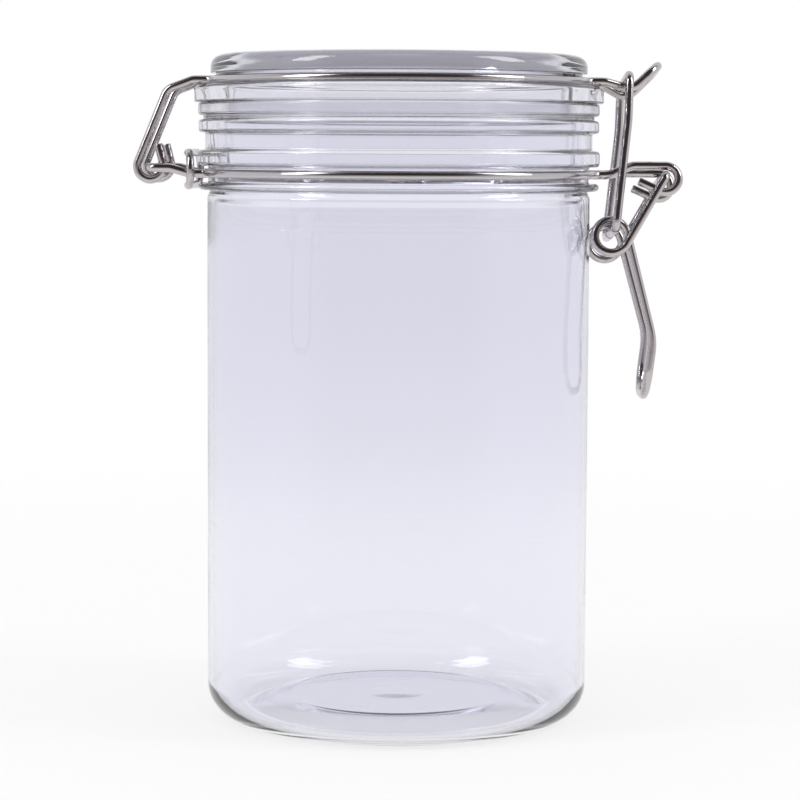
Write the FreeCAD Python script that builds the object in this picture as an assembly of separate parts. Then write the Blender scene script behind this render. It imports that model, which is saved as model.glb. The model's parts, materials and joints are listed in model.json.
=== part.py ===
"""Clear storage jar with a bail-wire clip lid: one closed solid for each piece, in millimetres.

+Z is up and +X points to the clasp. The origin is the centre of the ring that the jar stands on.
"""

import FreeCAD
import Part
import math
import os

# Jar: a straight clear wall, a pushed-up base and a neck with three flanges
BODY_R = 49.0
WALL = 1.3
BASE_THICKNESS = 1.9
HEEL_ROUND = 7.5
STANDING_RING_R = 37.4
PUSH_UP_R = 31.2
PUSH_UP_HEIGHT = 4.2
GATE_R = 5.8
GATE_DROP = 0.7
BODY_TOP_Z = 133.9
NECK_FOOT_Z = 135.7
NECK_FOOT_R = 48.2
BORE_R = 46.4
CORE_R = 48.7
LOWER_FLANGE_R = 51.8
LOWER_FLANGE_TOP_Z = 137.6
UPPER_FLANGE_R = 52.0
UPPER_FLANGE_Z = (141.8, 145.9)
RECESS_R = 50.0
RIM_FLANGE_R = 51.9
RIM_FLANGE_Z = (150.2, 153.6)
RIM_STEP = 1.3
RIM_TOP_R = RIM_FLANGE_R - RIM_STEP
RIM_TOP_Z = 154.2
FLANGE_ROUND = 0.7

# Lid: a hollow cap with a flange, a groove for its wire and a short plug
LID_TOP_Z = 170.0
LID_R = 48.5
LID_EDGE_ROUND = 3.2
LID_LOWER_ROUND = 1.3
LID_GROOVE_Z = (162.2, 165.3)
LID_CORE_R = 46.8
LID_FLANGE_R = 52.75
LID_FLANGE_Z = 157.8
PLUG_R = 45.0
PLUG_BOTTOM_Z = 152.5
LID_HOLLOW_R = 43.5
LID_TOP_THICKNESS = 2.2
LID_HOLLOW_ROUND = 2.0

# Gasket: a soft ring between the rim and the lid's flange
GASKET_PROUD = 0.1
GASKET_R = RIM_FLANGE_R + GASKET_PROUD
GASKET_HOLE_R = 45.2
GASKET_STEP_Z = 154.6
GASKET_ROUND = 0.8

# Wires
WIRE_R = 1.1
END_GAP = 0.3
RING_BEND_R = 3.0
NECK_RING_R = 49.9
NECK_RING_Z = 139.9
LID_RING_R = 48.0
LID_RING_Z = 163.35

# The clasp sits a little askew: all of it is turned about a line along X
CLASP_TILT_DEG = 6.0
CLASP_LINE_Z = 138.9

# Lever: pivot bar, two arms, an eye in each arm and a handle
PIVOT_X = 67.5
PIVOT_Z = 138.75
ARM_Y = 12.9
HANDLE_Y = 10.4
PIVOT_BEND_R = 1.6
EYE_X = 53.75
EYE_Z = 123.2
EYE_R = 4.2
EYE_CORNERS = 5
HANDLE_BEND = (64.7, 98.1)
HANDLE_BEND_R = 14.0
HANDLE_END = (62.9, 83.7)
HANDLE_END_BEND_R = 7.5

# Draw loop: from a bar through the eyes up to a bar over the lid's tongue
LOOP_FOOT = (54.45, 124.75)
LOOP_FOOT_Y = 17.0
LOOP_FOOT_BEND_R = 2.6
LOOP_KNEE = (57.6, 152.4)
LOOP_KNEE_R = 40.0
LOOP_HEAD = (58.0, 164.0)
LOOP_HEAD_Y = 14.3
LOOP_HEAD_BEND_R = 3.0

# Front of the neck wire: two strands that end in open hooks round the pivot bar
HOOK_Y = 10.0
HOOK_DROP = 0.8
HOOK_R = 3.3
HOOK_TURN_DEG = 204.0
HOOK_STUB = 6.0
HOOK_STRAND_X = (53.2, 59.0)
HOOK_STRAND_ROUND = 5.0

# Back of the neck wire: two strands and the crossbar that the lid turns on
CROSSBAR_X = -62.9
CROSSBAR_Z = 141.3
CROSSBAR_Y = 14.9
CROSSBAR_BEND_R = 2.2
CROSSBAR_STRAND_X = (-52.6, -57.4)

# Front of the lid wire: a tongue with a valley for the draw loop's upper bar
TONGUE_Y = 10.3
TONGUE_LEVEL_X = 51.8
TONGUE_VALLEY = (59.0, 160.55)
TONGUE_VALLEY_R = 4.0
TONGUE_TIP = (65.8, 167.1)
TONGUE_TIP_BEND_R = 5.0

# Back of the lid wire: two strands that end in open hooks round the crossbar
LID_HOOK_Y = 12.0
LID_HOOK_X = -62.6
LID_HOOK_Z = 141.6
LID_HOOK_R = 3.3
LID_HOOK_END_DEG = 104.0
LID_HOOK_STUB = 5.0
LID_STRAND_LEVEL_X = -51.8
LID_STRAND_BEND = (-58.3, 160.9)
LID_STRAND_ROUND = 3.2

# Keeper: an oval ring of wire round both back strands of the neck wire
KEEPER_WIRE_R = 1.0
KEEPER_GAP = 0.8
KEEPER_X = -(max(LOWER_FLANGE_R, UPPER_FLANGE_R) + KEEPER_GAP + KEEPER_WIRE_R)
KEEPER_Z = 140.95
KEEPER_HALF_HEIGHT = 4.15
KEEPER_BAR_Y = 13.2
KEEPER_CURVE_R = 90.0


def level(x, y, z):
    """A point given in the jar's own frame."""
    return FreeCAD.Vector(x, y, z)


def clasp(x, y, z):
    """A point of the clasp, given as if the clasp were level, turned into its askew place."""
    tilt = FreeCAD.Rotation(FreeCAD.Vector(1, 0, 0), -CLASP_TILT_DEG)
    line = FreeCAD.Vector(x, 0, CLASP_LINE_Z)
    return line + tilt.multVec(FreeCAD.Vector(0, y, z - CLASP_LINE_Z))


def hanging(x, y, z):
    """A point of the lever's handle, which hangs level below the askew eyes."""
    return level(x, y + (EYE_Z - CLASP_LINE_Z) * math.sin(math.radians(CLASP_TILT_DEG)), z)


def rounded(corners):
    """Edges of straight runs through (point, radius) corners, each turned by a tangent arc."""
    edges = []
    start = corners[0][0]
    for (corner, radius), (after, _) in zip(corners[1:-1], corners[2:]):
        into = (corner - start).normalize()
        out = (after - corner).normalize()
        half = into.getAngle(out) / 2
        reach = radius * math.tan(half)
        first = corner - into * reach
        edges.append(Part.LineSegment(start, first).toShape())
        start = corner + out * reach
        if radius > 0:
            depth = radius / math.cos(half) - radius
            middle = corner + (out - into).normalize() * depth
            edges.append(Part.Arc(first, middle, start).toShape())
    edges.append(Part.LineSegment(start, corners[-1][0]).toShape())
    return edges


def revolved(outline):
    """A solid of revolution about Z from a rounded outline of (radius, height, rounding)."""
    corners = [(FreeCAD.Vector(r, 0, z), rounding) for r, z, rounding in outline]
    edges = rounded(corners)
    if (corners[0][0] - corners[-1][0]).Length > 0.001:
        edges.append(Part.LineSegment(corners[-1][0], corners[0][0]).toShape())
    face = Part.Face(Part.Wire(edges))
    return face.revolve(FreeCAD.Vector(0, 0, 0), FreeCAD.Vector(0, 0, 1), 360)


def round_wire(edges, radius):
    """A round bar of the given radius along the route of the edges."""
    route = Part.Wire(Part.__sortEdges__(edges))
    first = route.OrderedEdges[0]
    start = route.OrderedVertexes[0].Point
    along = first.tangentAt(first.FirstParameter)
    section = Part.Wire(Part.makeCircle(radius, start, along))
    return route.makePipe(Part.Face(section))


def around(x, z, radius, headings, count):
    """Corners (x, z) of a route that turns round a centre between two headings in degrees.

    A route that turns to the right has falling headings. The corners lie outside the circle,
    so that rounding each one follows it.
    """
    first, last = headings
    step = (last - first) / count
    side = math.copysign(1, step)
    reach = radius / math.cos(math.radians(step / 2))
    corners = []
    for i in range(count):
        angle = math.radians(first + step * (i + 0.5) - 90 * side)
        corners.append((x + reach * math.cos(angle), z + reach * math.sin(angle)))
    return corners


def heading_to_circle(point, centre, radius, side):
    """Heading in degrees of the run from a point that touches a circle on the given side."""
    dx = centre[0] - point[0]
    dz = centre[1] - point[1]
    bearing = math.degrees(math.atan2(dz, dx))
    return bearing - side * math.degrees(math.asin(radius / math.hypot(dx, dz)))


def ring_side(radius, z, front_y, back_y, side):
    """Arcs of one side of a wire ring, with its bends out to the front and back strands."""
    bends = []
    for way, half in ((1, front_y), (-1, back_y)):
        out = radius + RING_BEND_R
        y = half + RING_BEND_R
        centre = FreeCAD.Vector(way * math.sqrt(out**2 - y**2), side * y, z)
        axis_point = FreeCAD.Vector(0, 0, z)
        on_ring = axis_point + (centre - axis_point) * (radius / out)
        on_strand = centre - FreeCAD.Vector(0, side * RING_BEND_R, 0)
        halfway = ((on_ring + on_strand) * 0.5 - centre).normalize() * RING_BEND_R + centre
        bends.append((on_ring, halfway, on_strand))
    front, back = bends
    ring = Part.Arc(front[0], FreeCAD.Vector(0, side * radius, z), back[0]).toShape()
    arcs = [Part.Arc(*bend).toShape() for bend in bends]
    return [arcs[0], ring, arcs[1]], front[2], back[2]


def jar_body():
    """The clear jar, from the middle of its underside round the outside to the inside."""
    base_top = PUSH_UP_HEIGHT + BASE_THICKNESS
    inner_r = BODY_R - WALL
    upper_bottom, upper_top = UPPER_FLANGE_Z
    rim_bottom, rim_top = RIM_FLANGE_Z
    return revolved(
        [
            (0, PUSH_UP_HEIGHT - GATE_DROP, 0),
            (GATE_R, PUSH_UP_HEIGHT - GATE_DROP, 0.3),
            (GATE_R + GATE_DROP, PUSH_UP_HEIGHT, 0.3),
            (PUSH_UP_R, PUSH_UP_HEIGHT, 3.0),
            (STANDING_RING_R, 0, 1.2),
            (BODY_R, 0, HEEL_ROUND),
            (BODY_R, BODY_TOP_Z, 1.0),
            (NECK_FOOT_R, NECK_FOOT_Z, 0),
            (LOWER_FLANGE_R, NECK_FOOT_Z, FLANGE_ROUND),
            (LOWER_FLANGE_R, LOWER_FLANGE_TOP_Z, FLANGE_ROUND),
            (CORE_R, LOWER_FLANGE_TOP_Z, 0.3),
            (CORE_R, upper_bottom, 0.3),
            (UPPER_FLANGE_R, upper_bottom, FLANGE_ROUND),
            (UPPER_FLANGE_R, upper_top, FLANGE_ROUND),
            (RECESS_R, upper_top, 0.5),
            (RECESS_R, rim_bottom, 0.5),
            (RIM_FLANGE_R, rim_bottom, FLANGE_ROUND),
            (RIM_FLANGE_R, rim_top, FLANGE_ROUND),
            (RIM_TOP_R, rim_top, 0),
            (RIM_TOP_R, RIM_TOP_Z, 0),
            (BORE_R, RIM_TOP_Z, 0.9),
            (BORE_R, NECK_FOOT_Z, 2.0),
            (inner_r, BODY_TOP_Z - 2 * WALL, 2.0),
            (inner_r, BASE_THICKNESS, HEEL_ROUND - WALL),
            (STANDING_RING_R - 0.6, BASE_THICKNESS, 2.0),
            (PUSH_UP_R - 0.6, base_top, 2.0),
            (0, base_top, 0),
        ]
    )


def lid():
    """The clear lid, from the middle of its top down the outside and back up the hollow."""
    groove_bottom, groove_top = LID_GROOVE_Z
    hollow_top = LID_TOP_Z - LID_TOP_THICKNESS
    return revolved(
        [
            (0, LID_TOP_Z, 0),
            (LID_R, LID_TOP_Z, LID_EDGE_ROUND),
            (LID_R, groove_top, LID_LOWER_ROUND),
            (LID_CORE_R, groove_top, 0),
            (LID_CORE_R, groove_bottom, 0.3),
            (LID_FLANGE_R, groove_bottom, 1.0),
            (LID_FLANGE_R, LID_FLANGE_Z, FLANGE_ROUND),
            (PLUG_R, LID_FLANGE_Z, 0),
            (PLUG_R, PLUG_BOTTOM_Z, 0.6),
            (LID_HOLLOW_R, PLUG_BOTTOM_Z, 0.6),
            (LID_HOLLOW_R, hollow_top, LID_HOLLOW_ROUND),
            (0, hollow_top, 0),
        ]
    )


def lid_gasket():
    """The soft ring, round from the middle of its flat top."""
    middle_r = (GASKET_R + GASKET_HOLE_R) / 2
    return revolved(
        [
            (middle_r, LID_FLANGE_Z, 0),
            (GASKET_R, LID_FLANGE_Z, GASKET_ROUND),
            (GASKET_R, GASKET_STEP_Z, GASKET_ROUND),
            (RIM_TOP_R, GASKET_STEP_Z, 0),
            (RIM_TOP_R, RIM_TOP_Z, 0),
            (GASKET_HOLE_R, RIM_TOP_Z, 0.4),
            (GASKET_HOLE_R, LID_FLANGE_Z, 0.2),
            (middle_r, LID_FLANGE_Z, 0),
        ]
    )


def neck_wire():
    """One wire round the neck: hooks for the lever in front, a crossbar for the lid behind."""
    near_arcs, near_front, near_back = ring_side(
        NECK_RING_R, NECK_RING_Z, HOOK_Y, CROSSBAR_Y, -1
    )
    far_arcs, far_front, far_back = ring_side(
        NECK_RING_R, NECK_RING_Z, HOOK_Y, CROSSBAR_Y, 1
    )
    edges = near_arcs + far_arcs

    hook_z = PIVOT_Z - HOOK_DROP
    end_heading = -HOOK_TURN_DEG
    turn = around(PIVOT_X, hook_z, HOOK_R, (0, end_heading), 4)
    last = math.radians(end_heading + 90)
    stub_way = math.radians(end_heading)
    stub_x = PIVOT_X + HOOK_R * math.cos(last) + HOOK_STUB * math.cos(stub_way)
    stub_z = hook_z + HOOK_R * math.sin(last) + HOOK_STUB * math.sin(stub_way)
    level_x, strand_x = HOOK_STRAND_X
    for side, start in ((-1, near_front), (1, far_front)):
        y = side * HOOK_Y
        route = [
            (start, 0),
            (level(level_x, y, NECK_RING_Z), HOOK_STRAND_ROUND),
            (clasp(strand_x, y, hook_z + HOOK_R), HOOK_STRAND_ROUND),
        ]
        route += [(clasp(x, y, z), HOOK_R * 0.98) for x, z in turn]
        route.append((clasp(stub_x, y, stub_z), 0))
        edges += rounded(route)

    inner_x, outer_x = CROSSBAR_STRAND_X
    half = [
        (inner_x, CROSSBAR_Y, NECK_RING_Z, 4.0),
        (outer_x, CROSSBAR_Y, CROSSBAR_Z, 4.0),
        (CROSSBAR_X, CROSSBAR_Y, CROSSBAR_Z, CROSSBAR_BEND_R),
    ]
    near = [(level(x, -y, z), bend) for x, y, z, bend in half]
    far = [(level(x, y, z), bend) for x, y, z, bend in reversed(half)]
    edges += rounded([(near_back, 0)] + near + far + [(far_back, 0)])
    return round_wire(edges, WIRE_R)


def lid_wire():
    """One wire round the lid: a tongue for the draw loop in front, hooks for the hinge behind."""
    near_arcs, near_front, near_back = ring_side(
        LID_RING_R, LID_RING_Z, TONGUE_Y, LID_HOOK_Y, -1
    )
    far_arcs, far_front, far_back = ring_side(
        LID_RING_R, LID_RING_Z, TONGUE_Y, LID_HOOK_Y, 1
    )
    edges = near_arcs + far_arcs

    near = []
    far = []
    for side, half in ((-1, near), (1, far)):
        y = side * TONGUE_Y
        half.append((level(TONGUE_LEVEL_X, y, LID_RING_Z), 3.0))
        half.append((clasp(TONGUE_VALLEY[0], y, TONGUE_VALLEY[1]), TONGUE_VALLEY_R))
        half.append((clasp(TONGUE_TIP[0], y, TONGUE_TIP[1]), TONGUE_TIP_BEND_R))
    edges += rounded([(near_front, 0)] + near + far[::-1] + [(far_front, 0)])

    hook = (LID_HOOK_X, LID_HOOK_Z)
    down = heading_to_circle(LID_STRAND_BEND, hook, LID_HOOK_R, 1) % 360
    end_heading = LID_HOOK_END_DEG + 360
    turn = around(*hook, LID_HOOK_R, (down, end_heading), 4)
    last = math.radians(end_heading - 90)
    stub_way = math.radians(end_heading)
    stub_x = hook[0] + LID_HOOK_R * math.cos(last) + LID_HOOK_STUB * math.cos(stub_way)
    stub_z = hook[1] + LID_HOOK_R * math.sin(last) + LID_HOOK_STUB * math.sin(stub_way)
    for side, start in ((-1, near_back), (1, far_back)):
        y = side * LID_HOOK_Y
        route = [
            (start, 0),
            (level(LID_STRAND_LEVEL_X, y, LID_RING_Z), LID_STRAND_ROUND),
            (level(LID_STRAND_BEND[0], y, LID_STRAND_BEND[1]), LID_STRAND_ROUND),
        ]
        route += [(level(x, y, z), LID_HOOK_R * 0.98) for x, z in turn]
        route.append((level(stub_x, y, stub_z), 0))
        edges += rounded(route)
    return round_wire(edges, WIRE_R)


def wire_keeper():
    """An oval ring, a little curved like the neck, that holds the two back strands together."""
    swing = KEEPER_BAR_Y / KEEPER_CURVE_R
    centre_x = KEEPER_X + KEEPER_CURVE_R
    edges = []
    for z in (KEEPER_Z - KEEPER_HALF_HEIGHT, KEEPER_Z + KEEPER_HALF_HEIGHT):
        ends = [
            level(
                centre_x - KEEPER_CURVE_R * math.cos(swing),
                side * KEEPER_CURVE_R * math.sin(swing),
                z,
            )
            for side in (-1, 1)
        ]
        edges.append(Part.Arc(ends[0], level(KEEPER_X, 0, z), ends[1]).toShape())
    for side in (-1, 1):
        x = centre_x - KEEPER_CURVE_R * math.cos(swing)
        y = side * KEEPER_CURVE_R * math.sin(swing)
        outermost = level(
            x + KEEPER_HALF_HEIGHT * math.sin(swing),
            y + side * KEEPER_HALF_HEIGHT * math.cos(swing),
            KEEPER_Z,
        )
        low = level(x, y, KEEPER_Z - KEEPER_HALF_HEIGHT)
        high = level(x, y, KEEPER_Z + KEEPER_HALF_HEIGHT)
        edges.append(Part.Arc(low, outermost, high).toShape())
    return round_wire(edges, KEEPER_WIRE_R)


def closed_loop(half):
    """A wire bent into a loop that mirrors itself across y = 0, its ends butted in the first bar.

    The half holds (place, x, y, z, radius) corners from the first bar to the last one, where
    place is the function that sets a point into the jar's frame.
    """
    _, bar_x, _, bar_z, _ = half[0]
    near = [(clasp(bar_x, -END_GAP / 2, bar_z), 0)]
    near += [(place(x, -y, z), bend) for place, x, y, z, bend in half]
    far = [(place(x, y, z), bend) for place, x, y, z, bend in reversed(half)]
    far.append((clasp(bar_x, END_GAP / 2, bar_z), 0))
    return round_wire(rounded(near + far), WIRE_R)


def lever():
    """Pivot bar, arms, an eye in each arm for the draw loop, and the handle below."""
    eye = (EYE_X, EYE_Z)
    down = heading_to_circle((PIVOT_X, PIVOT_Z), eye, EYE_R, -1)
    back = heading_to_circle(HANDLE_BEND, eye, EYE_R, 1)
    turn = around(*eye, EYE_R, (down, back - 180 - 360), EYE_CORNERS)
    shift = (ARM_Y - HANDLE_Y) / (EYE_CORNERS - 1)
    half = [(clasp, PIVOT_X, ARM_Y, PIVOT_Z, PIVOT_BEND_R)]
    for i, (x, z) in enumerate(turn):
        half.append((clasp, x, ARM_Y - shift * i, z, EYE_R * 0.96))
    half.append((hanging, HANDLE_BEND[0], HANDLE_Y, HANDLE_BEND[1], HANDLE_BEND_R))
    half.append((hanging, HANDLE_END[0], HANDLE_Y, HANDLE_END[1], HANDLE_END_BEND_R))
    return closed_loop(half)


def draw_loop():
    """Bar through the lever's eyes, two strands, and the bar over the lid's tongue."""
    knee_share = (LOOP_KNEE[1] - LOOP_FOOT[1]) / (LOOP_HEAD[1] - LOOP_FOOT[1])
    knee_y = LOOP_FOOT_Y + (LOOP_HEAD_Y - LOOP_FOOT_Y) * knee_share
    return closed_loop(
        [
            (clasp, LOOP_FOOT[0], LOOP_FOOT_Y, LOOP_FOOT[1], LOOP_FOOT_BEND_R),
            (clasp, LOOP_KNEE[0], knee_y, LOOP_KNEE[1], LOOP_KNEE_R),
            (clasp, LOOP_HEAD[0], LOOP_HEAD_Y, LOOP_HEAD[1], LOOP_HEAD_BEND_R),
        ]
    )


PIECES = {
    "jar_body": jar_body,
    "lid": lid,
    "lid_gasket": lid_gasket,
    "lid_wire": lid_wire,
    "neck_wire": neck_wire,
    "wire_keeper": wire_keeper,
    "lever": lever,
    "draw_loop": draw_loop,
}

os.makedirs("parts", exist_ok=True)
for name, build in PIECES.items():
    solid = build()
    solid.exportStep(f"parts/{name}.step")
    print(name, solid.ShapeType, solid.isValid(), round(solid.Volume), solid.BoundBox)
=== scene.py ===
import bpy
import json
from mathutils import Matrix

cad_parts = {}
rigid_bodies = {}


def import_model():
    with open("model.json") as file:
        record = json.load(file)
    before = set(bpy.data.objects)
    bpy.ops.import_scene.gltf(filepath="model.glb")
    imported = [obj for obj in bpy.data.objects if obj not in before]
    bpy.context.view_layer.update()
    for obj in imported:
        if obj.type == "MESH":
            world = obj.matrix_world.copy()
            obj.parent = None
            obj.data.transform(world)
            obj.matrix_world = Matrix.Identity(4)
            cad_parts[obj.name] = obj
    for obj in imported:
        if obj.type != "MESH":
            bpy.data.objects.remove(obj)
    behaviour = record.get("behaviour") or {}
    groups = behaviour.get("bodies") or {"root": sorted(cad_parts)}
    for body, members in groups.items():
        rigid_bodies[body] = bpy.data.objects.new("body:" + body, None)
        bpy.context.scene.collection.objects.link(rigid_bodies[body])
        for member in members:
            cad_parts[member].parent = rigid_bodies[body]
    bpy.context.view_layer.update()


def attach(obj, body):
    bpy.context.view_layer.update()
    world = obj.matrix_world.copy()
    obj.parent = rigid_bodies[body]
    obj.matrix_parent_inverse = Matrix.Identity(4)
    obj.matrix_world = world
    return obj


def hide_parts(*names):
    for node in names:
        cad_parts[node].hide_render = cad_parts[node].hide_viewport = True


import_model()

# %% [markdown]
# This lesson dresses a clear plastic storage jar with a wire clip lid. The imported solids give
# every place and size, and each piece is made again here with softer edges and a real finish.
# All objects are in metres in the frame's own axes: +Z up, +X to the clasp, the near side at -Y.
# Sizes are written in millimetres, as a maker would read them off a drawing.

# %% Tools and the millimetre
import json
import math

import bmesh
import bpy
from mathutils import Matrix, Vector

MM = 0.001

# %% [markdown]
# The jar, the lid and the gasket are round, so a half outline tells their whole shape. It starts
# as a few vertices, one for each corner of the outline. A vertex bevel turns a corner into a
# tangent arc: its offset is how far the arc reaches along each run, which is the radius times the
# tangent of half the turn. Places closer than the weld distance are merged into one.

# %% Corners rounded by a vertex bevel
LEAST_TURN = 0.001
WELD = 0.004


def round_corner(mesh, vert, before, after, radius, arc_step):
    """Turns one corner of a chain of vertices into an arc, with a piece for each few degrees."""
    turn = (vert.co - before).angle(after - vert.co)
    if radius > 0 and turn > LEAST_TURN:
        bmesh.ops.bevel(
            mesh,
            geom=[vert],
            offset=radius * MM * math.tan(turn / 2),
            offset_type="OFFSET",
            segments=max(2, round(math.degrees(turn) / arc_step)),
            profile=0.5,
            affect="VERTICES",
            material=-1,
            clamp_overlap=False,
        )


def chain(corners, arc_step, closed=False):
    """A bmesh with a chain of runs through (point, radius) corners, each corner rounded."""
    mesh = bmesh.new()
    verts = [mesh.verts.new(Vector(point) * MM) for point, _ in corners]
    places = [vert.co.copy() for vert in verts]
    count = len(verts)
    for i in range(count if closed else count - 1):
        mesh.edges.new((verts[i], verts[(i + 1) % count]))
    for i in range(0 if closed else 1, count if closed else count - 1):
        before, after = places[i - 1], places[(i + 1) % count]
        round_corner(mesh, verts[i], before, after, corners[i][1], arc_step)
    bmesh.ops.remove_doubles(mesh, verts=mesh.verts, dist=WELD * MM)
    return mesh


demo = chain([((0, 0, 0), 0), ((10, 0, 0), 3), ((10, 0, 10), 0)], 15)
print("a rounded corner has", len(demo.verts), "vertices")
demo.free()

# %% [markdown]
# Each piece is one object that rides on a body of the frame and stands for one of its
# solids.

# %% A piece of the jar


def make_object(name, mesh, body, node):
    """Turns a bmesh into a smooth piece that stands for one solid of the frame."""
    data = bpy.data.meshes.new(name)
    mesh.to_mesh(data)
    mesh.free()
    data.shade_smooth()
    piece = bpy.data.objects.new(name, data)
    bpy.context.scene.collection.objects.link(piece)
    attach(piece, body)
    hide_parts(node)
    print(name, "has", len(data.polygons), "faces")
    return piece


# %% [markdown]
# A spin of the outline makes a round piece. Long runs are divided first, so that no face is a
# long sliver. The full turn is merged to its start, the pole on the axis is one vertex after its
# doubles are merged, and the faces are then turned to point outwards. The merge lists its parts in
# another order in each run, so they are sorted by their places, and every run gives the same
# order.

# %% A piece turned about the jar's axis
TURN_STEPS = 216
ARC_STEP_DEG = 9
LONGEST_RUN = 7.0
SORTING = Vector((1.0, 97.3, 9203.7))


def turned(outline):
    """A bmesh spun round Z from an outline of (radius, height, rounding) in millimetres."""
    mesh = chain([((r, 0, z), rounding) for r, z, rounding in outline], ARC_STEP_DEG)
    for edge in list(mesh.edges):
        cuts = int(edge.calc_length() / (LONGEST_RUN * MM))
        if cuts:
            bmesh.ops.subdivide_edges(mesh, edges=[edge], cuts=cuts)
    bmesh.ops.spin(
        mesh,
        geom=list(mesh.verts) + list(mesh.edges),
        cent=(0, 0, 0),
        axis=(0, 0, 1),
        dvec=(0, 0, 0),
        angle=math.tau,
        steps=TURN_STEPS,
        use_merge=True,
        use_duplicate=False,
    )
    bmesh.ops.remove_doubles(mesh, verts=mesh.verts, dist=WELD * MM)
    bmesh.ops.recalc_face_normals(mesh, faces=mesh.faces)
    mesh.verts.sort(key=lambda vert: vert.co.dot(SORTING))
    mesh.faces.sort(key=lambda face: face.calc_center_median().dot(SORTING))
    return mesh


print("each arc step is", ARC_STEP_DEG, "degrees,", TURN_STEPS, "steps to a turn")

# %% [markdown]
# The jar is blown from PET. Its wall is about 1.3 mm thick, and the base is pushed up so that it
# stands on a ring. The gate, where the plastic came in, leaves a very shallow dish in the middle.
# The sizes of the lower half come first. A BEND is the radius that rounds a corner.

# %% The jar's base and body
BODY_R, BODY_TOP, WALL, BASE = 49.0, 133.9, 1.3, 1.9
HEEL, SHOULDER_BEND = 8.5, 1.8
RING_R, RING_BEND = 38.0, 5.0
PUSH_UP_R, PUSH_UP, PUSH_UP_BEND = 30.4, 3.6, 14.0
GATE_R, GATE_END_R, GATE_DEPTH, GATE_BEND = 3.0, 8.0, 0.05, 12.0

jar_outside = [
    (0, PUSH_UP - GATE_DEPTH, 0),
    (GATE_R, PUSH_UP - GATE_DEPTH, GATE_BEND),
    (GATE_END_R, PUSH_UP, GATE_BEND),
    (PUSH_UP_R, PUSH_UP, PUSH_UP_BEND),
    (RING_R, 0, RING_BEND),
    (BODY_R, 0, HEEL),
    (BODY_R, BODY_TOP, SHOULDER_BEND),
]
print("the body is", 2 * BODY_R, "mm across and its base is pushed up by", PUSH_UP, "mm")

# %% [markdown]
# The thicker neck was moulded before the bottle was blown, so its flanges are crisp. The lowest
# one and the middle one hold the neck wire between them, and the rim has a small step on top, on
# which the gasket sits. Each flange is a row of four corners between two narrower ones.

# %% The jar's neck
NECK_FOOT, NECK_FOOT_R, NECK_FOOT_BEND = 135.7, 48.2, 0.3
FLANGE_R, FLANGE_BEND = 51.2, 0.9
MIDDLE_R, MIDDLE_BEND = 51.4, 1.0
CORE_R, CORE_BEND = 48.7, 0.4
RECESS_R, RECESS_BEND = 49.5, 0.5
LOWER_TOP = 137.6
MIDDLE_UNDER, MIDDLE_TOP = 141.8, 145.9
RIM_UNDER, RIM_TOP = 150.2, 153.6
MOUTH_R, MOUTH_TOP, MOUTH_FOOT_BEND, MOUTH_BEND = 50.0, 154.2, 0.15, 0.2

jar_outside += [
    (NECK_FOOT_R, NECK_FOOT, NECK_FOOT_BEND),
    (FLANGE_R, NECK_FOOT, FLANGE_BEND),
    (FLANGE_R, LOWER_TOP, FLANGE_BEND),
    (CORE_R, LOWER_TOP, CORE_BEND),
    (CORE_R, MIDDLE_UNDER, CORE_BEND),
    (MIDDLE_R, MIDDLE_UNDER, MIDDLE_BEND),
    (MIDDLE_R, MIDDLE_TOP, MIDDLE_BEND),
    (RECESS_R, MIDDLE_TOP, RECESS_BEND),
    (RECESS_R, RIM_UNDER, RECESS_BEND),
    (FLANGE_R, RIM_UNDER, FLANGE_BEND),
    (FLANGE_R, RIM_TOP, FLANGE_BEND),
    (MOUTH_R, RIM_TOP, MOUTH_FOOT_BEND),
    (MOUTH_R, MOUTH_TOP, MOUTH_BEND),
]
print("the neck's flanges are", 2 * FLANGE_R, "and", 2 * MIDDLE_R, "mm across")

# %% [markdown]
# Inside, the bore widens into the body over a long, gentle taper. A short one would show through
# the clear wall as a dark band. The inside then follows the outside a wall's thickness away.

# %% The jar
BORE_R, BORE_BEND = 46.4, 0.9
TAPER_TOP, TAPER_FOOT, TAPER_BEND = NECK_FOOT + 4.0, BODY_TOP - 12.0, 60.0
INSIDE_SHIFT = 0.4

jar_inside = [
    (BORE_R, MOUTH_TOP, BORE_BEND),
    (BORE_R, TAPER_TOP, TAPER_BEND),
    (BODY_R - WALL, TAPER_FOOT, TAPER_BEND),
    (BODY_R - WALL, BASE, HEEL - WALL),
    (RING_R + INSIDE_SHIFT, BASE, RING_BEND),
    (PUSH_UP_R + INSIDE_SHIFT, PUSH_UP + BASE, PUSH_UP_BEND),
    (0, PUSH_UP + BASE, 0),
]
jar = make_object("jar_blown", turned(jar_outside + jar_inside), "jar", "jar_body")

# %% [markdown]
# The lid is injection moulded: a hollow cap with a rounded top edge, a groove for its wire, a
# wide flange, and a short plug that drops into the mouth. The hollow widens behind the groove and
# ends in a large rounding, so that the cap's thick top catches light instead of trapping it.

# %% The lid
LID_TOP, LID_R, LID_WALL, LID_BEND = 170.0, 48.1, 2.2, 3.2
GROOVE_R, GROOVE_TOP, GROOVE_FLOOR = 46.8, 165.3, 162.2
LID_FLANGE_R, LID_FLANGE_BEND, LID_FLANGE_UNDER_BEND = 52.3, 1.1, 0.6
FLANGE_UNDER = 157.8
PLUG_R, PLUG_END, PLUG_BORE_R, PLUG_BEND = 45.0, 152.5, 43.5, 0.6
HOLLOW_R, STEP_FOOT, STEP_TOP, HOLLOW_BEND = 45.2, 162.0, 163.0, 4.4
CRISP, INSIDE_BEND = 0.15, 0.3

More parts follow.
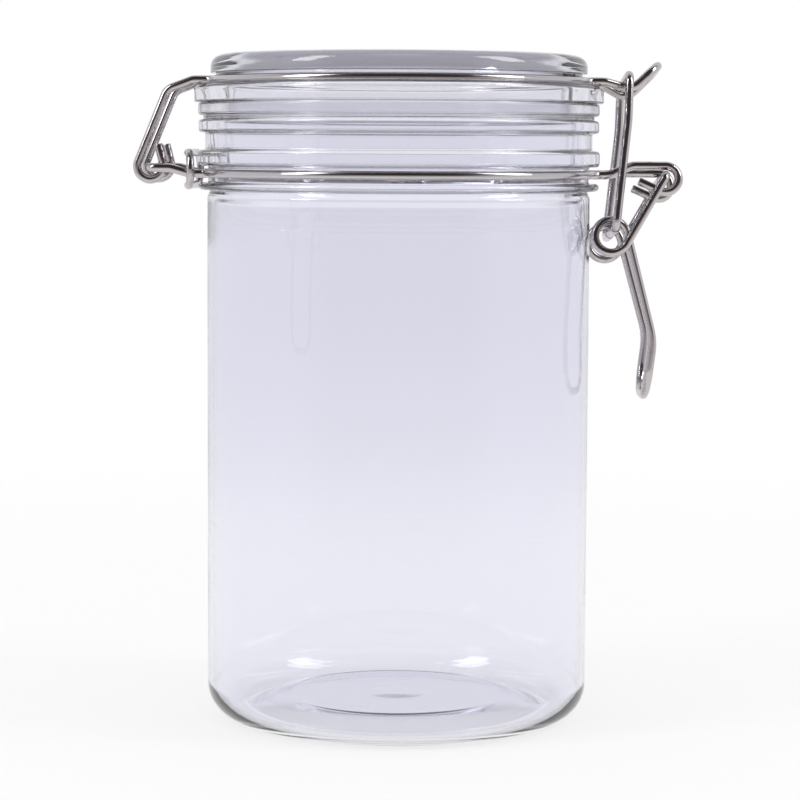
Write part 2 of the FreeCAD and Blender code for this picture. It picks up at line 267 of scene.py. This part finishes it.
lid_outline = [
    (0, LID_TOP, 0),
    (LID_R, LID_TOP, LID_BEND),
    (LID_R, GROOVE_TOP, CRISP),
    (GROOVE_R, GROOVE_TOP, CRISP),
    (GROOVE_R, GROOVE_FLOOR, INSIDE_BEND),
    (LID_FLANGE_R, GROOVE_FLOOR, LID_FLANGE_BEND),
    (LID_FLANGE_R, FLANGE_UNDER, LID_FLANGE_UNDER_BEND),
    (PLUG_R, FLANGE_UNDER, CRISP),
    (PLUG_R, PLUG_END, PLUG_BEND),
    (PLUG_BORE_R, PLUG_END, PLUG_BEND),
    (PLUG_BORE_R, STEP_FOOT, INSIDE_BEND),
    (HOLLOW_R, STEP_TOP, INSIDE_BEND),
    (HOLLOW_R, LID_TOP - LID_WALL, HOLLOW_BEND),
    (0, LID_TOP - LID_WALL, 0),
]
lid = make_object("lid_moulded", turned(lid_outline), "lid", "lid")

# %% [markdown]
# The gasket is a soft ring of clear silicone between the lid's flange and the rim. It is drawn
# 0.05 mm short of both, because two clear surfaces in exactly one place confuse a ray of light.
# Its outline is a closed one, which starts and ends at one place on the flat top.

# %% The gasket
AIR = 0.05
GASKET_R, GASKET_HOLE_R, GASKET_STEP, GASKET_START_R = 51.3, 45.2, 154.6, 48.6
GASKET_TOP, GASKET_SEAT = FLANGE_UNDER - AIR, MOUTH_TOP + AIR
GASKET_BEND, GASKET_STEP_BEND = 0.8, 0.1
HOLE_FOOT_BEND, HOLE_TOP_BEND = 0.4, 0.3

gasket_outline = [
    (GASKET_START_R, GASKET_TOP, 0),
    (GASKET_R, GASKET_TOP, GASKET_BEND),
    (GASKET_R, GASKET_STEP, GASKET_BEND),
    (MOUTH_R + AIR, GASKET_STEP, GASKET_STEP_BEND),
    (MOUTH_R + AIR, GASKET_SEAT, GASKET_STEP_BEND),
    (GASKET_HOLE_R, GASKET_SEAT, HOLE_FOOT_BEND),
    (GASKET_HOLE_R, GASKET_TOP, HOLE_TOP_BEND),
    (GASKET_START_R, GASKET_TOP, 0),
]
gasket = make_object("gasket_ring", turned(gasket_outline), "lid", "lid_gasket")

# %% [markdown]
# Every wire is bent from 2.2 mm stainless wire. A wire is a route of corners, each with the radius
# of its bend, rounded by the same vertex bevel as above. A curve with a round section then follows
# the route, because a curve keeps the section square to the wire at each bend.

# %% A round section along a route
SECTION_STEPS = 5


def ordered(mesh, start):
    """The places along a chain of vertices, in order from one of them."""
    places, before, here = [], None, start
    while here is not None and (here is not start or not places):
        places.append(here.co.copy())
        ways = [edge.other_vert(here) for edge in here.link_edges]
        onward = [vert for vert in ways if vert is not before]
        before, here = here, onward[0] if onward else None
    return places


def tube(places, radius, closed):
    """A bmesh of round wire along the places."""
    curve = bpy.data.curves.new("route", "CURVE")
    curve.dimensions = "3D"
    curve.bevel_depth = radius * MM
    curve.bevel_resolution = SECTION_STEPS
    spline = curve.splines.new("POLY")
    spline.points.add(len(places) - 1)
    for point, place in zip(spline.points, places):
        point.co = (*place, 1)
    spline.use_cyclic_u = closed
    holder = bpy.data.objects.new("route", curve)
    data = bpy.data.meshes.new_from_object(holder)
    mesh = bmesh.new()
    mesh.from_mesh(data)
    for spent in (holder, curve, data):
        bpy.data.batch_remove([spent])
    return mesh


demo = tube([Vector((0, 0, 0)), Vector((0.01, 0, 0))], 1.0, False)
print("the wire's section has", len(demo.verts) // 2, "sides")
demo.free()

# %% [markdown]
# The two ends of a wire are open after that. They are filled, and the rim of each is bevelled, as
# a tumbled cut end is soft.

# %% A bent wire
WIRE_R = 1.1
WIRE_WELD = 0.002
BEND_STEP_DEG = 7
END_SOFTNESS, END_STEPS = 0.3, 3


def bent_wire(route, radius=WIRE_R, closed=False):
    """A bmesh of wire along a route of (point, bend radius) corners, in millimetres."""
    line = chain(route, BEND_STEP_DEG, closed)
    line.verts.ensure_lookup_table()
    ends = [vert for vert in line.verts if len(vert.link_edges) == 1]
    mesh = tube(ordered(line, ends[0] if ends else line.verts[0]), radius, closed)
    line.free()
    bmesh.ops.remove_doubles(mesh, verts=mesh.verts, dist=WIRE_WELD * MM)
    caps = bmesh.ops.holes_fill(mesh, edges=mesh.edges, sides=0)["faces"]
    rims = [edge for cap in caps for edge in cap.edges]
    if rims:
        bmesh.ops.bevel(
            mesh,
            geom=rims,
            offset=END_SOFTNESS * MM,
            offset_type="OFFSET",
            segments=END_STEPS,
            profile=0.5,
            affect="EDGES",
            material=-1,
        )
    bmesh.ops.recalc_face_normals(mesh, faces=mesh.faces)
    return mesh


print("wire", 2 * WIRE_R, "mm thick, cut ends softened by", END_SOFTNESS, "mm")

# %% [markdown]
# A bend round a pin or round the neck is longer than one corner can turn, so it is given as a few
# corners that lie on the lines that touch its circle. Rounding each of them with the circle's own
# radius then follows the circle. The roundings are a hair tighter than the circle, so that the
# arcs of two neighbouring corners never run into each other.

# %% Routes round a circle
RING_TURN_R = 3.0
RING_CORNERS = 4
RING_SNUG = 0.999


def around(x, y, radius, first, last, count):
    """Corners (x, y) of a route round a centre, between two headings in degrees."""
    step = (last - first) / count
    side = math.copysign(1, step)
    reach = radius / math.cos(math.radians(step / 2))
    angles = [math.radians(first + step * (i + 0.5) - 90 * side) for i in range(count)]
    return [(x + reach * math.cos(a), y + reach * math.sin(a)) for a in angles]


def ring_side(radius, z, front_y, back_y):
    """Corners of the near side of a ring, from its front strand round to its back strand."""
    out = radius + RING_TURN_R
    front = math.asin((front_y + RING_TURN_R) / out)
    back = math.asin((back_y + RING_TURN_R) / out)
    corners = []
    for angle, way, y in ((front, 1, front_y), (back, -1, back_y)):
        inward = RING_TURN_R * math.tan((math.pi / 2 - angle) / 2)
        corners.append(((way * (out * math.cos(angle) - inward), -y, z), RING_TURN_R))
    headings = (-90 - math.degrees(front), -270 + math.degrees(back))
    ring = around(0, 0, radius, *headings, RING_CORNERS)
    return [corners[0]] + [((x, y, z), radius * RING_SNUG) for x, y in ring] + [corners[1]]


def other_side(route):
    """The same corners on the far side of the jar."""
    return [((x, -y, z), bend) for (x, y, z), bend in route]


print("a ring's side has", len(ring_side(49.9, 139.9, 10, 14.9)), "corners")

# %% [markdown]
# The clasp of this jar sits about six degrees askew, as such bent wire often does. Its corners are
# written as if it were level and then turned about a line along X. The handle hangs level below.

# %% The clasp's lean
CLASP_LEAN = math.radians(6.0)
CLASP_LINE = Vector((0, 0, 138.9))
EYE = (53.75, 123.2)


def clasp(x, y, z):
    """A point of the clasp, from its place in a level clasp."""
    lean = Matrix.Rotation(-CLASP_LEAN, 3, "X")
    return tuple(lean @ (Vector((x, y, z)) - CLASP_LINE) + CLASP_LINE)


def hanging(x, y, z):
    """A point of the handle, which hangs level below the eyes."""
    return (x, y + (EYE[1] - CLASP_LINE.z) * math.sin(CLASP_LEAN), z)


print("the handle is shifted by", round(hanging(0, 0, 0)[1], 2), "mm to the near side")

# %% [markdown]
# The neck wire lies in the groove under the middle flange. In front its two ends run out, curl
# over and come back below, so that they carry the lever's pivot bar. Its route starts at the tip
# of one hook, so a hook is made first. A hook ends in a short straight stub.

# %% The neck wire's hooks
NECK_RING_R, NECK_RING_Z = 49.9, 139.9
PIVOT = (67.5, 138.75)
HOOK_Y, HOOK_R, HOOK_TURN, HOOK_STUB, HOOK_CORNERS = 10.0, 3.3, 204.0, 6.0, 4
HOOK_DROP = 0.8
HOOK_Z = PIVOT[1] - HOOK_DROP
HOOK_START_X, HOOK_RISE_X, HOOK_BEND = 53.2, 59.0, 5.0
SNUG = 0.98


def end_of_turn(x, y, radius, heading, side, stub):
    """The tip of a stub that runs straight on from a turn round a centre."""
    leave, way = math.radians(heading - 90 * side), math.radians(heading)
    return (
        x + radius * math.cos(leave) + stub * math.cos(way),
        y + radius * math.sin(leave) + stub * math.sin(way),
    )


def lever_hook(y):
    """One front strand, from the ring out to the tip of its hook."""
    tip = end_of_turn(PIVOT[0], HOOK_Z, HOOK_R, -HOOK_TURN, -1, HOOK_STUB)
    turn = around(PIVOT[0], HOOK_Z, HOOK_R, 0, -HOOK_TURN, HOOK_CORNERS)
    rise = clasp(HOOK_RISE_X, y, HOOK_Z + HOOK_R)
    route = [((HOOK_START_X, y, NECK_RING_Z), HOOK_BEND), (rise, HOOK_BEND)]
    route += [(clasp(x, y, z), HOOK_R * SNUG) for x, z in turn]
    return route + [(clasp(tip[0], y, tip[1]), 0)]


print("a lever hook has", len(lever_hook(HOOK_Y)), "corners")

# %% [markdown]
# Behind the neck, the wire goes out in two strands to a crossbar, on which the lid hinges.

# %% The neck wire
CROSSBAR_X, CROSSBAR_Z, CROSSBAR_Y, CROSSBAR_BEND = -62.9, 141.3, 14.9, 2.2
STRAND_START_X, STRAND_RISE_X, STRAND_RISE_BEND = -52.6, -57.4, 4.0

back_strand = [
    ((STRAND_START_X, -CROSSBAR_Y, NECK_RING_Z), STRAND_RISE_BEND),
    ((STRAND_RISE_X, -CROSSBAR_Y, CROSSBAR_Z), STRAND_RISE_BEND),
    ((CROSSBAR_X, -CROSSBAR_Y, CROSSBAR_Z), CROSSBAR_BEND),
]
ring = ring_side(NECK_RING_R, NECK_RING_Z, HOOK_Y, CROSSBAR_Y)
route = lever_hook(-HOOK_Y)[::-1] + ring + back_strand
route += other_side(back_strand)[::-1] + other_side(ring)[::-1] + lever_hook(HOOK_Y)
neck_wire = make_object("wire_round_neck", bent_wire(route), "jar", "neck_wire")

# %% [markdown]
# The lid wire lies in the lid's groove. Behind, it drops in two strands that hook round the
# crossbar. The heading of a strand's long run is the one that just touches the hook's circle.

# %% The lid wire's hinge strands
LID_RING_R, LID_RING_Z = 48.0, 163.35
LID_START_X = 51.8
HINGE_Y, STRAND_BEND_AT, STRAND_BEND = 12.0, (-58.3, 160.9), 3.2
HINGE, HINGE_R, HINGE_END, HINGE_STUB, HINGE_CORNERS = (-62.6, 141.6), 3.3, 104.0, 5.0, 4


def heading_to_circle(point, centre, radius, side):
    """Heading in degrees of the run from a point that touches a circle on the given side."""
    dx, dz = centre[0] - point[0], centre[1] - point[1]
    return math.degrees(math.atan2(dz, dx) - side * math.asin(radius / math.hypot(dx, dz)))


def hinge_strand():
    """The near back strand, from the ring down to the tip of its hook."""
    down = heading_to_circle(STRAND_BEND_AT, HINGE, HINGE_R, 1) % 360
    turn = around(*HINGE, HINGE_R, down, HINGE_END + 360, HINGE_CORNERS)
    tip = end_of_turn(*HINGE, HINGE_R, HINGE_END, 1, HINGE_STUB)
    strand = [
        ((-LID_START_X, -HINGE_Y, LID_RING_Z), STRAND_BEND),
        ((STRAND_BEND_AT[0], -HINGE_Y, STRAND_BEND_AT[1]), STRAND_BEND),
    ]
    strand += [((x, -HINGE_Y, z), HINGE_R * SNUG) for x, z in turn]
    return strand + [((tip[0], -HINGE_Y, tip[1]), 0)]


print("a hinge strand has", len(hinge_strand()), "corners")

# %% [markdown]
# In front, the lid wire makes a tongue. It dips into a valley, which the draw loop presses into
# when the jar is shut, and its tip turns up so that a finger can lift it.

# %% The lid wire
TONGUE_Y, TONGUE_START_BEND = 10.3, 3.0
TONGUE_VALLEY, TONGUE_VALLEY_BEND = (59.0, 160.55), 4.0
TONGUE_TIP, TONGUE_TIP_BEND = (65.8, 167.1), 5.0


def tongue_side(y):
    """One side of the tongue, from the ring out to the tip."""
    return [
        ((LID_START_X, y, LID_RING_Z), TONGUE_START_BEND),
        (clasp(TONGUE_VALLEY[0], y, TONGUE_VALLEY[1]), TONGUE_VALLEY_BEND),
        (clasp(TONGUE_TIP[0], y, TONGUE_TIP[1]), TONGUE_TIP_BEND),
    ]


ring = ring_side(LID_RING_R, LID_RING_Z, TONGUE_Y, HINGE_Y)
strand = hinge_strand()
route = strand[::-1] + ring[::-1] + tongue_side(-TONGUE_Y)
route += tongue_side(TONGUE_Y)[::-1] + other_side(ring) + other_side(strand)
lid_wire = make_object("wire_round_lid", bent_wire(route), "lid", "lid_wire")

# %% [markdown]
# The keeper is an oval ring of thinner wire that holds the two back strands of the neck wire
# together. Each of its long bars is a row of places between two rounded corners. The rows are
# written on a flat plane and then moved back a little, to follow the neck.

# %% The keeper
KEEPER_WIRE_R = 1.0
KEEPER_X, KEEPER_Z, KEEPER_HALF = -53.8, 140.95, 4.15
KEEPER_BAR_Y, KEEPER_CURVE, KEEPER_STEPS = 13.2, 90.0, 12
KEEPER_SNUG = 0.99

places_y = [i * KEEPER_BAR_Y / (KEEPER_STEPS / 2) - KEEPER_BAR_Y for i in range(KEEPER_STEPS + 1)]
oval = [((0, y, KEEPER_HALF), 0) for y in places_y]
for i, y in ((0, -KEEPER_BAR_Y - KEEPER_HALF), (-1, KEEPER_BAR_Y + KEEPER_HALF)):
    oval[i] = ((0, y, KEEPER_HALF), KEEPER_HALF * KEEPER_SNUG)
oval += [((x, y, -z), bend) for (x, y, z), bend in reversed(oval)]


def to_neck(point):
    """A point of the flat oval, moved to the curve that it has beside the neck."""
    x, y, z = point
    return (KEEPER_X + KEEPER_CURVE - math.sqrt(KEEPER_CURVE**2 - y**2), y, KEEPER_Z + z)


route = [(to_neck(point), bend) for point, bend in oval]
oval_wire = bent_wire(route, KEEPER_WIRE_R, True)
keeper = make_object("keeper_ring", oval_wire, "jar", "wire_keeper")

# %% [markdown]
# The lever and the draw loop are each one closed loop, symmetric about the middle, whose two ends
# meet in the first bar with a hair's gap. Half the corners are therefore enough for each.

# %% A loop of two mirrored halves
END_GAP = 0.3


def closed_loop(half):
    """A route that mirrors (place, x, y, z, bend) corners and meets itself in the first bar."""
    _, bar_x, _, bar_z, _ = half[0]
    near = [(place(x, -y, z), bend) for place, x, y, z, bend in half]
    far = [(place(x, y, z), bend) for place, x, y, z, bend in reversed(half)]
    ends = [(clasp(bar_x, side * END_GAP / 2, bar_z), 0) for side in (-1, 1)]
    return [ends[0]] + near + far + [ends[1]]


print("the two ends of a loop are", END_GAP, "mm apart")

# %% [markdown]
# The lever starts with its pivot bar in the neck wire's hooks. Each arm runs down to an eye, makes
# a turn and a half round it while it steps inwards, and goes on as a strand of the handle.

# %% The lever
ARM_Y, PIVOT_BEND = 12.9, 1.6
EYE_R, EYE_CORNERS, EYE_SNUG = 4.2, 5, 0.96
HANDLE_Y = 10.4
HANDLE_BEND_AT, HANDLE_BEND = (64.7, 98.1), 14.0
HANDLE_END, HANDLE_END_BEND = (62.9, 83.7), 7.5

down = heading_to_circle(PIVOT, EYE, EYE_R, -1)
back = heading_to_circle(HANDLE_BEND_AT, EYE, EYE_R, 1)
coil = around(*EYE, EYE_R, down, back - 180 - 360, EYE_CORNERS)
shift = (ARM_Y - HANDLE_Y) / (len(coil) - 1)
half = [(clasp, PIVOT[0], ARM_Y, PIVOT[1], PIVOT_BEND)]
half += [(clasp, x, ARM_Y - shift * i, z, EYE_R * EYE_SNUG) for i, (x, z) in enumerate(coil)]
half += [
    (hanging, HANDLE_BEND_AT[0], HANDLE_Y, HANDLE_BEND_AT[1], HANDLE_BEND),
    (hanging, HANDLE_END[0], HANDLE_Y, HANDLE_END[1], HANDLE_END_BEND),
]
lever = make_object("lever_bent", bent_wire(closed_loop(half)), "lever", "lever")

# %% [markdown]
# The draw loop turns in the lever's eyes. Its two sides rise with a slight bend at the knee, draw
# in towards the top, and end in the bar that lies on the lid's tongue.

# %% The draw loop
FOOT, FOOT_BEND = (54.45, 17.0, 124.75), 2.6
KNEE, KNEE_BEND = (57.6, 152.4), 40.0
HEAD, HEAD_BEND = (58.0, 14.3, 164.0), 3.0

knee_y = FOOT[1] + (HEAD[1] - FOOT[1]) * (KNEE[1] - FOOT[2]) / (HEAD[2] - FOOT[2])
half = [
    (clasp, *FOOT, FOOT_BEND),
    (clasp, KNEE[0], knee_y, KNEE[1], KNEE_BEND),
    (clasp, *HEAD, HEAD_BEND),
]
loop = make_object("loop_bent", bent_wire(closed_loop(half)), "draw_loop", "draw_loop")

# %% [markdown]
# Colours are written as they look on a screen, in hex, and one function turns them to the linear
# values that a shader counts with. One more function adds a node with its settings and links.

# %% Colour and nodes


def linear(hex_colour):
    """A linear RGBA colour from an sRGB hex value."""
    parts = [int(hex_colour[i : i + 2], 16) / 255 for i in (1, 3, 5)]
    return [c / 12.92 if c <= 0.04045 else ((c + 0.055) / 1.055) ** 2.4 for c in parts] + [1]


def add(tree, kind, settings=None, **inputs):
    """Adds a node. Inputs take a value, a socket to link, or a hex colour."""
    made = tree.nodes.new(kind)
    for key, value in (settings or {}).items():
        setattr(made, key, value)
    for key, value in inputs.items():
        name = key.replace("_", " ")
        socket = made.inputs[int(key[1:])] if key[1:].isdigit() else made.inputs[name]
        if isinstance(value, bpy.types.NodeSocket):
            tree.links.new(value, socket)
        elif isinstance(value, str):
            socket.default_value = linear(value)
        else:
            socket.default_value = value
    return made


def new_finish(name):
    """An empty material and its node tree."""
    finish = bpy.data.materials.new(name)
    finish.use_nodes = True
    finish.node_tree.nodes.clear()
    return finish, finish.node_tree


print("middle grey is", round(linear("#808080")[0], 3), "in linear light")

# %% [markdown]
# PET is water clear, with a faint lavender cast that adds up through two walls. It was stretched
# and blown, so its surface is smooth, with long, shallow ripples about two centimetres apart that
# only show where they bend what is behind them.

# %% Blown PET


def clear_plastic(name, colour, ior, ripple_mm, ripple_depth_mm, roughness):
    """A clear moulded plastic whose surface has shallow ripples of a real size."""
    finish, tree = new_finish(name)
    place = add(tree, "ShaderNodeTexCoord").outputs["Object"]
    ripple = add(tree, "ShaderNodeTexNoise", Vector=place, Scale=1 / (ripple_mm * MM), Detail=1.0)
    bump = add(
        tree,
        "ShaderNodeBump",
        Height=ripple.outputs["Fac"],
        Distance=ripple_depth_mm * MM,
        Strength=1.0,
    )
    shader = add(
        tree,
        "ShaderNodeBsdfPrincipled",
        Base_Color=colour,
        Roughness=roughness,
        IOR=ior,
        Transmission_Weight=1.0,
        Normal=bump.outputs["Normal"],
    )
    add(tree, "ShaderNodeOutputMaterial", Surface=shader.outputs["BSDF"])
    return finish


PET_TINT = "#F5F5FB"
pet = clear_plastic(
    "blown_PET", PET_TINT, ior=1.575, ripple_mm=22.0, ripple_depth_mm=0.02, roughness=0.0
)
jar.data.materials.append(pet)
print("one pass through clear PET keeps", [round(c, 3) for c in linear(PET_TINT)[:3]])

# %% [markdown]
# The lid is moulded in clear polystyrene, a harder plastic. It fills a polished steel mould, so
# its surfaces are flat and crisp beside the blown jar's, with ripples far too shallow to see.

# %% Moulded polystyrene
styrene = clear_plastic(
    "moulded_polystyrene",
    "#F5F5F9",
    ior=1.57,
    ripple_mm=15.0,
    ripple_depth_mm=0.0005,
    roughness=0.0,
)
lid.data.materials.append(styrene)
print("the lid is", styrene.name)

# %% [markdown]
# The gasket is clear silicone rubber. It is soft, a little cloudy, and its skin is satin, which
# blurs what is seen through it. It bends light less than the two plastics.

# %% Silicone
silicone = clear_plastic(
    "clear_silicone", "#F7F7FB", ior=1.41, ripple_mm=6.0, ripple_depth_mm=0.01, roughness=0.12
)
gasket.data.materials.append(silicone)
print("the gasket is", silicone.name)

# %% [markdown]
# The wire is stainless steel, drawn through a die and tumbled bright. Drawing leaves fine lines
# along the wire, which here follow the wire's own UV map: a pattern that is stretched along it.
# Real drawing lines are finer than a pixel, so these are as coarse as it takes to show.

# %% Drawn stainless wire
LINES_ALONG, LINES_ROUND = 40.0, 26.0
LINE_DEPTH_MM = 0.01
SMOOTHEST, ROUGHEST = 0.8, 1.3


def drawn_steel(name, colour, roughness):
    """Bright drawn wire: a metal with faint lines along it."""
    finish, tree = new_finish(name)
    along = add(tree, "ShaderNodeTexCoord").outputs["UV"]
    spread = add(tree, "ShaderNodeMapping", Vector=along, Scale=(LINES_ALONG, LINES_ROUND, 1.0))
    lines = add(
        tree, "ShaderNodeTexNoise", Vector=spread.outputs["Vector"], Scale=1.0, Detail=2.0
    )
    rough = add(
        tree,
        "ShaderNodeMapRange",
        Value=lines.outputs["Fac"],
        To_Min=roughness * SMOOTHEST,
        To_Max=roughness * ROUGHEST,
    )
    bump = add(
        tree,
        "ShaderNodeBump",
        Height=lines.outputs["Fac"],
        Distance=LINE_DEPTH_MM * MM,
        Strength=1.0,
    )
    shader = add(
        tree,
        "ShaderNodeBsdfPrincipled",
        Base_Color=colour,
        Metallic=1.0,
        Roughness=rough.outputs["Result"],
        Normal=bump.outputs["Normal"],
    )
    add(tree, "ShaderNodeOutputMaterial", Surface=shader.outputs["BSDF"])
    return finish


steel = drawn_steel("drawn_stainless", "#C2BDBD", roughness=0.15)
for piece in (neck_wire, lid_wire, keeper, lever, loop):
    piece.data.materials.append(steel)
    print(piece.name, "has UV maps", [layer.name for layer in piece.data.uv_layers])

# %% [markdown]
# A weighted normal keeps each long flat run flat in the light, up to where its rounding starts.
# Without it, the shading of a corner would bleed over the whole wall of the jar.

# %% Even shading
for piece in (jar, lid, gasket):
    piece.modifiers.new("even shading", "WEIGHTED_NORMAL")
print("weighted normals on", jar.name, lid.name, gasket.name)

# %% [markdown]
# The room is a pale studio. The floor is a sheet of white paper that adds a little of its own
# light, so that it meets the white background without a line and still keeps the jar's shadow.
# Its rim fades out, so that no edge of it shows through the clear wall. The room is in metres.

# %% The floor
FLOOR_R, FLOOR_SIDES = 0.65, 96
FADE_FROM, FADE_TO = 0.2, FLOOR_R * 0.98
PAPER_GREY, PAPER_GLOW = "#757575", 0.77

mesh = bmesh.new()
bmesh.ops.create_circle(mesh, cap_ends=True, segments=FLOOR_SIDES, radius=FLOOR_R)
data = bpy.data.meshes.new("floor")
mesh.to_mesh(data)
mesh.free()
floor = bpy.data.objects.new("floor", data)
bpy.context.scene.collection.objects.link(floor)

paper, tree = new_finish("white_paper_sweep")
place = add(tree, "ShaderNodeTexCoord").outputs["Object"]
away = add(tree, "ShaderNodeVectorMath", {"operation": "LENGTH"}, i0=place).outputs["Value"]
fade = add(
    tree,
    "ShaderNodeMapRange",
    {"interpolation_type": "SMOOTHSTEP"},
    Value=away,
    From_Min=FADE_FROM,
    From_Max=FADE_TO,
).outputs["Result"]
matt = add(tree, "ShaderNodeBsdfDiffuse", Color=PAPER_GREY).outputs["BSDF"]
glow = add(tree, "ShaderNodeEmission", Color="#FFFFFF", Strength=PAPER_GLOW).outputs["Emission"]
both = add(tree, "ShaderNodeAddShader", i0=matt, i1=glow).outputs["Shader"]
clear = add(tree, "ShaderNodeBsdfTransparent").outputs["BSDF"]
sheet = add(tree, "ShaderNodeMixShader", i0=fade, i1=both, i2=clear)
add(tree, "ShaderNodeOutputMaterial", Surface=sheet.outputs["Shader"])
floor.data.materials.append(paper)
print("floor", 2 * FLOOR_R, "m wide, fading from", FADE_FROM, "m")

# %% [markdown]
# The world gives an even light, and it is what the plastic and the metal show. Two scales of grey
# run from low down to overhead. The first is what a ray finds once it has gone through plastic:
# nearly white low down, a soft grey at eye level and darker close under the ceiling. The second
# is the photographer's side in a reflection: pale low down and dark from eye level up.

# %% The room's greys
THROUGH_GREYS = [(0.33, "#FDFDFE"), (0.45, "#EBEBF0"), (0.78, "#E8E8ED"), (0.96, "#9E9DA5")]
FRONT_GREYS = [(0.42, "#C6BFBE"), (0.56, "#453B3C"), (1.0, "#383031")]
LOW, HIGH = -0.5, 0.5

world = bpy.data.worlds.new("studio")
bpy.context.scene.world = world
world.use_nodes = True
tree = world.node_tree
tree.nodes.clear()
way = add(tree, "ShaderNodeTexCoord").outputs["Generated"]
parts = add(tree, "ShaderNodeSeparateXYZ", Vector=way).outputs
height = add(
    tree, "ShaderNodeMapRange", Value=parts["Z"], From_Min=LOW, From_Max=HIGH
).outputs["Result"]
greys = []
for steps in (THROUGH_GREYS, FRONT_GREYS):
    ramp = add(tree, "ShaderNodeValToRGB", Fac=height)
    ramp.color_ramp.interpolation = "EASE"
    while len(ramp.color_ramp.elements) < len(steps):
        ramp.color_ramp.elements.new(0.5)
    for element, (position, colour) in zip(ramp.color_ramp.elements, steps):
        element.position = position
        element.color = linear(colour)
    greys.append(ramp.outputs["Color"])
through, front = greys
print("grey scales with", len(THROUGH_GREYS), "and", len(FRONT_GREYS), "steps")

# %% [markdown]
# In a reflection, the background behind the jar and the two sides of the room are pale, and only
# the photographer's side shows the second scale. The larger of two soft steps, one along Y and one
# along X to both sides, says how pale a direction is.

# %% What a reflection shows
BEHIND_FROM, BEHIND_TO = -0.15, 0.45
BESIDE_FROM, BESIDE_TO = 0.6, 0.95
PALE_WALL = "#EEEEF3"

sideways = add(tree, "ShaderNodeMath", {"operation": "ABSOLUTE"}, i0=parts["X"]).outputs["Value"]
steps = []
for along, start, end in (
    (parts["Y"], BEHIND_FROM, BEHIND_TO),
    (sideways, BESIDE_FROM, BESIDE_TO),
):
    step = add(
        tree,
        "ShaderNodeMapRange",
        {"interpolation_type": "SMOOTHSTEP"},
        Value=along,
        From_Min=start,
        From_Max=end,
    )
    steps.append(step.outputs["Result"])
larger = {"operation": "MAXIMUM"}
pale = add(tree, "ShaderNodeMath", larger, i0=steps[0], i1=steps[1]).outputs["Value"]
mixing = {"data_type": "RGBA"}
mirrored = add(tree, "ShaderNodeMix", mixing, i0=pale, i6=front, i7=PALE_WALL).outputs[2]
print("a reflection is pale from", BEHIND_TO, "behind and from", BESIDE_TO, "to the sides")

# %% [markdown]
# The light path then tells the rays apart. The camera sees pure white, a matt surface gets an even
# light, and glossy and transmission rays find the room as it was made above.

# %% What each ray finds
AMBIENT = 0.9

path = add(tree, "ShaderNodeLightPath").outputs
even = (AMBIENT, AMBIENT, AMBIENT, 1)
shown = add(tree, "ShaderNodeMix", mixing, i0=path["Is Camera Ray"], i6=even, i7="#FFFFFF")
for ray, found in (("Is Glossy Ray", mirrored), ("Is Transmission Ray", through)):
    shown = add(tree, "ShaderNodeMix", mixing, i0=path[ray], i6=shown.outputs[2], i7=found)
back = add(tree, "ShaderNodeBackground", Color=shown.outputs[2], Strength=1.0)
add(tree, "ShaderNodeOutputWorld", Surface=back.outputs["Background"])
print("world nodes:", len(tree.nodes))

# %% [markdown]
# Two tall soft boxes stand to the left and right of the jar, well above it, and are aimed at its
# neck. They are the highlights on the edges of the neck and the lid and along the wire.

# %% Soft boxes
LAMPS = [("left", -61, 0.30, 5.0), ("right", 74, 0.36, 5.0)]
LAMP_AWAY, LAMP_UP, LAMP_TALL, AIM_UP = 1.0, 0.85, 0.8, 0.15

for side, turn, width, watts in LAMPS:
    lamp = bpy.data.lights.new("softbox_" + side, "AREA")
    lamp.shape = "RECTANGLE"
    lamp.size, lamp.size_y = width, LAMP_TALL
    lamp.energy = watts
    holder = bpy.data.objects.new(lamp.name, lamp)
    angle = math.radians(turn)
    holder.location = (LAMP_AWAY * math.sin(angle), -LAMP_AWAY * math.cos(angle), LAMP_UP)
    aim = Vector((0, 0, AIM_UP)) - holder.location
    holder.rotation_euler = aim.to_track_quat("-Z", "Y").to_euler()
    bpy.context.scene.collection.objects.link(holder)
print("lamps:", [name for name, *_ in LAMPS])

# %% [markdown]
# The camera stands 70 cm from the jar's axis, a little below the height of the lid, and looks
# slightly down. It is also rolled by a quarter of a degree, as the camera of the photograph was.

# %% The camera
FOCAL_PX, FRAME_PX, SENSOR_MM = 2719.7, 800, 36.0
CAMERA_AT = (0.0003, -0.700, 0.1462)
LOOKS_DOWN, ROLL = 5.27, -0.27

camera = bpy.data.objects.new("camera", bpy.data.cameras.new("camera"))
camera.data.sensor_width = SENSOR_MM
camera.data.lens = FOCAL_PX * SENSOR_MM / FRAME_PX
camera.data.clip_start = 0.01
camera.location = CAMERA_AT
camera.rotation_euler = (math.radians(90 - LOOKS_DOWN), math.radians(ROLL), 0)
bpy.context.scene.collection.objects.link(camera)
bpy.context.scene.camera = camera
bpy.context.scene.view_settings.view_transform = "Standard"
print("lens", round(camera.data.lens, 1), "mm")
